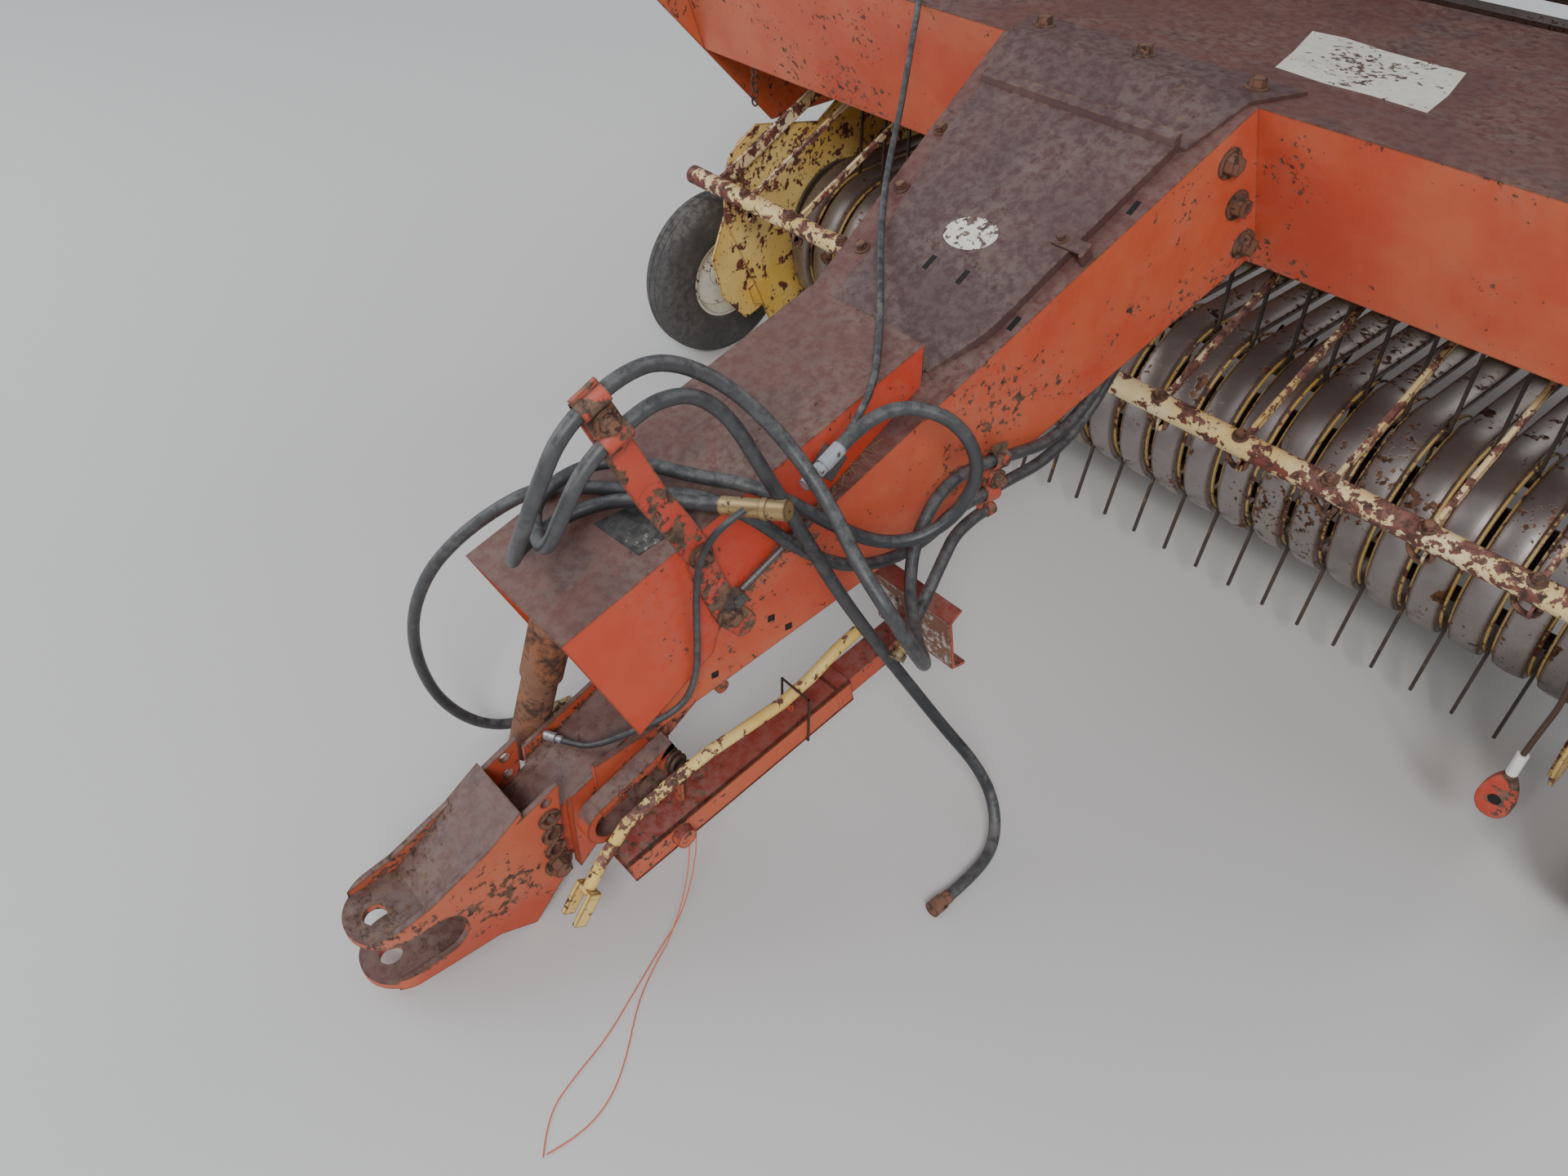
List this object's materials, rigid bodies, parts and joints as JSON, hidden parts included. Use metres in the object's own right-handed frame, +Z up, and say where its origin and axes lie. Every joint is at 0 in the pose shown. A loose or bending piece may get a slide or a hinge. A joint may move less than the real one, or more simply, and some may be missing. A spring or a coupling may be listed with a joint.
{
  "type": "round baler",
  "caption": "Pull-type round hay baler with a chain-and-slat chamber, lifting rear gate, tined pickup, windguard, and its clevis hitch resting on the ground.",
  "frame": {"origin": "on the ground under the middle of the machine's box", "axes": "+Z up, -Y towards the drawbar pin, +X the machine's left side"},
  "size_m": [2.45, 4.3, 2.39],
  "materials": {
    "orange": "worn orange-red paint, rust along the edges",
    "deck_dark": "sun-faded, oily purple-brown paint",
    "grey_steel": "dark worn steel",
    "bare_steel": "polished by crop, rust bloom",
    "rust": "matt brown rust",
    "yellow": "peeling yellow paint over rust",
    "tyre": "dusty black rubber",
    "rim": "chalky cream paint",
    "chrome": "plated rod"
  },
  "bodies": {
    "root": {"hitch_clevis": "orange", "hitch_tube": "orange", "tongue": "orange", "driveline_tunnel": "orange", "driveline": "rust", "tongue_cover": "deck_dark", "platform": "orange", "main_frame": "orange", "side_wall_left": "orange", "side_wall_right": "orange", "floor_apron": "bare_steel", "front_apron": "bare_steel", "apron_shafts": "grey_steel", "axle": "orange", "pickup_lugs": "orange", "ram_pins": "grey_steel", "door_carriers": "orange", "stand_bracket": "orange", "gearbox": "orange"},
    "gate": {"gate_frame": "orange", "gate_apron": "bare_steel"},
    "pickup": {"pickup_frame": "yellow", "stripper_bands": "bare_steel", "gauge_arms": "yellow"},
    "reel": {"pickup_reel": "yellow"},
    "windguard": {"windguard": "yellow"},
    "wheel_left": {"tyre_left": "tyre", "rim_left": "rim"},
    "wheel_right": {"tyre_right": "tyre", "rim_right": "rim"},
    "gauge_left": {"gauge_tyre_left": "tyre", "gauge_rim_left": "rim"},
    "gauge_right": {"gauge_tyre_right": "tyre", "gauge_rim_right": "rim"},
    "barrel_left": {"ram_barrel_left": "orange"},
    "barrel_right": {"ram_barrel_right": "orange"},
    "rod_left": {"ram_rod_left": "chrome"},
    "rod_right": {"ram_rod_right": "chrome"},
    "door_left": {"side_door_left": "orange"},
    "door_right": {"side_door_right": "orange"},
    "stand": {"parking_stand": "orange"}
  },
  "joints": [
    {"name": "gate_lift", "type": "hinge", "parent": "root", "child": "gate", "pos_m": [0, 0.935, 2.3], "axis": [1, 0, 0], "range_deg": [0, 60]},
    {"name": "ram_left_swing", "type": "hinge", "parent": "root", "child": "barrel_left", "pos_m": [0.905, 0.755, 1.3], "axis": [1, 0, 0], "range_deg": [-0.5, 6.72]},
    {"name": "ram_left_stroke", "type": "slide", "parent": "barrel_left", "child": "rod_left", "axis": [0, 0.4856, 0.8742], "range_m": [0, 0.3096]},
    {"name": "ram_right_swing", "type": "hinge", "parent": "root", "child": "barrel_right", "pos_m": [-0.905, 0.755, 1.3], "axis": [1, 0, 0], "range_deg": [-0.5, 6.72]},
    {"name": "ram_right_stroke", "type": "slide", "parent": "barrel_right", "child": "rod_right", "axis": [0, 0.4856, 0.8742], "range_m": [0, 0.3096]},
    {"name": "pickup_lift", "type": "hinge", "parent": "root", "child": "pickup", "pos_m": [0, 0.245, 0.5], "axis": [-1, 0, 0], "range_deg": [0, 5]},
    {"name": "reel_turn", "type": "hinge", "parent": "pickup", "child": "reel", "pos_m": [0, -0.275, 0.345], "axis": [1, 0, 0], "continuous": true},
    {"name": "windguard_float", "type": "hinge", "parent": "pickup", "child": "windguard", "pos_m": [0, -0.055, 0.7], "axis": [-1, 0, 0], "range_deg": [0, 4.5]},
    {"name": "wheel_left_turn", "type": "hinge", "parent": "root", "child": "wheel_left", "pos_m": [1.085, 1.145, 0.38], "axis": [1, 0, 0], "continuous": true},
    {"name": "gauge_left_turn", "type": "hinge", "parent": "pickup", "child": "gauge_left", "pos_m": [1.17, -0.53, 0.215], "axis": [1, 0, 0], "continuous": true},
    {"name": "door_left_open", "type": "hinge", "parent": "root", "child": "door_left", "pos_m": [0.975, 0.135, 1.255], "axis": [0, 0, -1], "range_deg": [0, 85]},
    {"name": "wheel_right_turn", "type": "hinge", "parent": "root", "child": "wheel_right", "pos_m": [-1.085, 1.145, 0.38], "axis": [1, 0, 0], "continuous": true},
    {"name": "gauge_right_turn", "type": "hinge", "parent": "pickup", "child": "gauge_right", "pos_m": [-1.17, -0.53, 0.215], "axis": [1, 0, 0], "continuous": true},
    {"name": "door_right_open", "type": "hinge", "parent": "root", "child": "door_right", "pos_m": [-0.975, 0.135, 1.255], "axis": [0, 0, 1], "range_deg": [0, 85]},
    {"name": "stand_swing", "type": "hinge", "parent": "root", "child": "stand", "pos_m": [0.17, -1.695, 0.188], "axis": [-1, 0, 0], "range_deg": [0, 8]}
  ],
  "couplings": [
    {"joint": "ram_left_swing", "follows": "gate_lift", "ratio": 0.10365},
    {"joint": "ram_left_stroke", "follows": "gate_lift", "m_per_rad": 0.29514},
    {"joint": "ram_right_swing", "follows": "gate_lift", "ratio": 0.10365},
    {"joint": "ram_right_stroke", "follows": "gate_lift", "m_per_rad": 0.29514}
  ]
}
